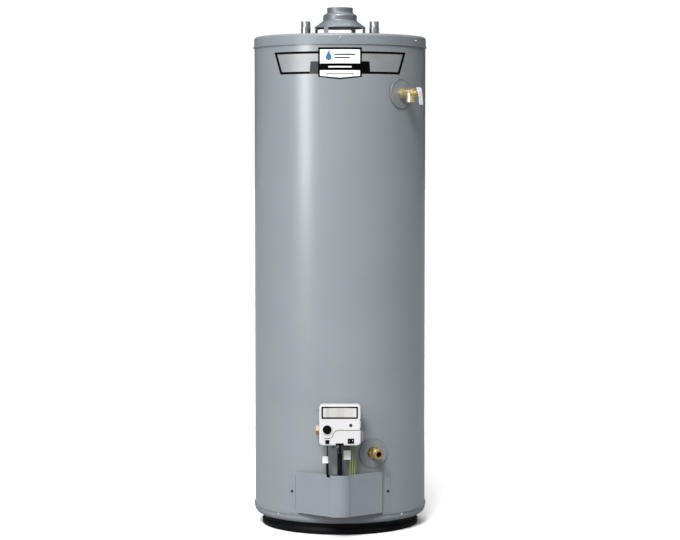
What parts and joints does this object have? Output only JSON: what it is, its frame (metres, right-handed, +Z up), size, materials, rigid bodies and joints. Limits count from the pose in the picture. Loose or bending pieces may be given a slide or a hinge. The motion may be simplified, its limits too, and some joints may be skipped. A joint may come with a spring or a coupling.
{
  "type": "tank water heater",
  "caption": "Tall gas-fired storage water heater with draft hood, pipe nipples, relief valve, drain valve, gas control and removable burner door.",
  "frame": {"origin": "on the floor, on the tank's axis", "axes": "+Z up along the tank; the gas control and burner door face -Y; +X is on the right seen from the front"},
  "size_m": [0.5143, 0.6092, 1.535],
  "materials": {
    "jacket_paint": "semi-gloss grey baked enamel on sheet steel",
    "black_base": "matte black moulded ring",
    "zinc_screw": "bright zinc plate",
    "black_screw": "black oxide",
    "raw_steel": "plain hot-rolled steel",
    "enamel_steel": "glass-lined tank steel",
    "pipe_steel": "galvanised pipe",
    "hood_steel": "galvanised and painted sheet",
    "foam": "rigid polyurethane foam",
    "wool": "mineral wool",
    "label_film": "printed silver film",
    "brass": "cast and machined brass",
    "lever_steel": "bright stamped lever",
    "spring_steel": "spring wire",
    "grey_plastic": "grey moulded cover disc",
    "black_rubber": "rubber",
    "cast_aluminium": "die-cast aluminium",
    "white_plastic": "white moulded plastic",
    "clear_window": "pale printed window",
    "black_plastic": "black moulded plastic",
    "dark_lens": "dark lens",
    "steel_pin": "machined steel",
    "aluminium_tube": "aluminium tube",
    "black_tube": "black coated tube",
    "green_wire": "olive green insulation",
    "black_wire": "black insulation",
    "tag_paper": "white tag",
    "arrestor_steel": "perforated plate",
    "white_ceramic": "glazed insulator",
    "gasket_fibre": "glass fibre gasket",
    "sight_glass": "heat-proof glass",
    "anode_metal": "magnesium rod",
    "dip_plastic": "polyethylene tube"
  },
  "bodies": {
    "heater": {"jacket_shell": "jacket_paint", "top_pan": "jacket_paint", "bottom_pan": "jacket_paint", "pan_screws": "zinc_screw", "base_filter_ring": "black_base", "support_feet": "raw_steel", "front_label": "label_film", "tank_shell": "enamel_steel", "tank_heads": "enamel_steel", "tank_spuds": "raw_steel", "flue_tube": "raw_steel", "flue_baffle": "raw_steel", "foam_insulation": "foam", "chamber_insulation": "wool", "pipe_nipples": "pipe_steel", "dip_tube": "dip_plastic", "anode_rod": "anode_metal", "draft_hood": "hood_steel", "draft_hood_legs": "hood_steel", "tp_valve_body": "brass", "tp_spring": "spring_steel", "tp_lever_pin": "steel_pin", "tp_probe": "raw_steel", "valve_cover_discs": "grey_plastic", "drain_gasket": "black_rubber", "drain_valve_body": "brass", "gas_valve_body": "cast_aluminium", "control_cover": "white_plastic", "control_window": "clear_window", "control_trim": "black_plastic", "status_light": "dark_lens", "gas_inlet_fitting": "brass", "thermowell": "raw_steel", "manifold_tube": "aluminium_tube", "manifold_fittings": "steel_pin", "pilot_tube": "black_tube", "igniter_lead": "black_wire", "thermopile_leads": "green_wire", "heat_sleeves": "black_rubber", "wire_tags": "tag_paper", "lead_clips": "black_rubber", "chamber_floor": "raw_steel", "flame_arrestor": "arrestor_steel", "burner_head": "raw_steel", "burner_mixer": "raw_steel", "pilot_burner": "raw_steel", "pilot_sensors": "white_ceramic", "inner_door": "raw_steel", "inner_door_gasket": "gasket_fibre", "sight_glass": "sight_glass", "inner_door_screws": "black_screw"},
    "knob_shaft": {"knob_shaft": "steel_pin"},
    "temperature_knob": {"temperature_knob": "black_plastic"},
    "igniter_button": {"igniter_button": "black_plastic"},
    "tp_lever": {"tp_lever": "lever_steel"},
    "tp_stem": {"tp_stem": "brass"},
    "drain_plug": {"drain_plug": "black_rubber"},
    "drain_stem": {"drain_stem": "brass"},
    "outer_door": {"outer_door": "jacket_paint", "outer_door_screws": "black_screw"}
  },
  "joints": [
    {"name": "knob_push", "type": "slide", "parent": "heater", "child": "knob_shaft", "axis": [0, 1, 0], "range_m": [0, 0.004], "stiffness_N_per_m": 600, "springref_m": -0.002},
    {"name": "knob_turn", "type": "hinge", "parent": "knob_shaft", "child": "temperature_knob", "pos_m": [-0.0365, -0.341, 0.3219], "axis": [0, -1, 0], "range_deg": [0, 270]},
    {"name": "igniter_push", "type": "slide", "parent": "heater", "child": "igniter_button", "axis": [0, 1, 0], "range_m": [0, 0.003], "stiffness_N_per_m": 600, "springref_m": -0.002},
    {"name": "tp_lever_lift", "type": "hinge", "parent": "heater", "child": "tp_lever", "pos_m": [0.22419, -0.2346, 1.287], "axis": [-0.723, -0.6909, 0], "range_deg": [0, 85.1], "stiffness_Nm_per_rad": 0.06, "springref_deg": -17.19},
    {"name": "tp_stem_lift", "type": "slide", "parent": "heater", "child": "tp_stem", "axis": [0.6909, -0.723, 0], "range_m": [0, 0.003], "deforming": ["tp_spring"]},
    {"name": "drain_plug_lift", "type": "slide", "parent": "heater", "child": "drain_plug", "axis": [0, 0, 1], "range_m": [0, 0.008]},
    {"name": "drain_stem_turn", "type": "hinge", "parent": "drain_plug", "child": "drain_stem", "pos_m": [0.10078, -0.2507, 0.2407], "axis": [0, 0, 1], "range_deg": [0, 1441]},
    {"name": "outer_door_pull", "type": "slide", "parent": "heater", "child": "outer_door", "axis": [0, -1, 0], "range_m": [0, 0.15]}
  ],
  "couplings": [
    {"joint": "tp_lever_lift", "follows": "tp_stem_lift", "rad_per_m": 494.51},
    {"joint": "drain_stem_turn", "follows": "drain_plug_lift", "rad_per_m": 3141.6}
  ]
}
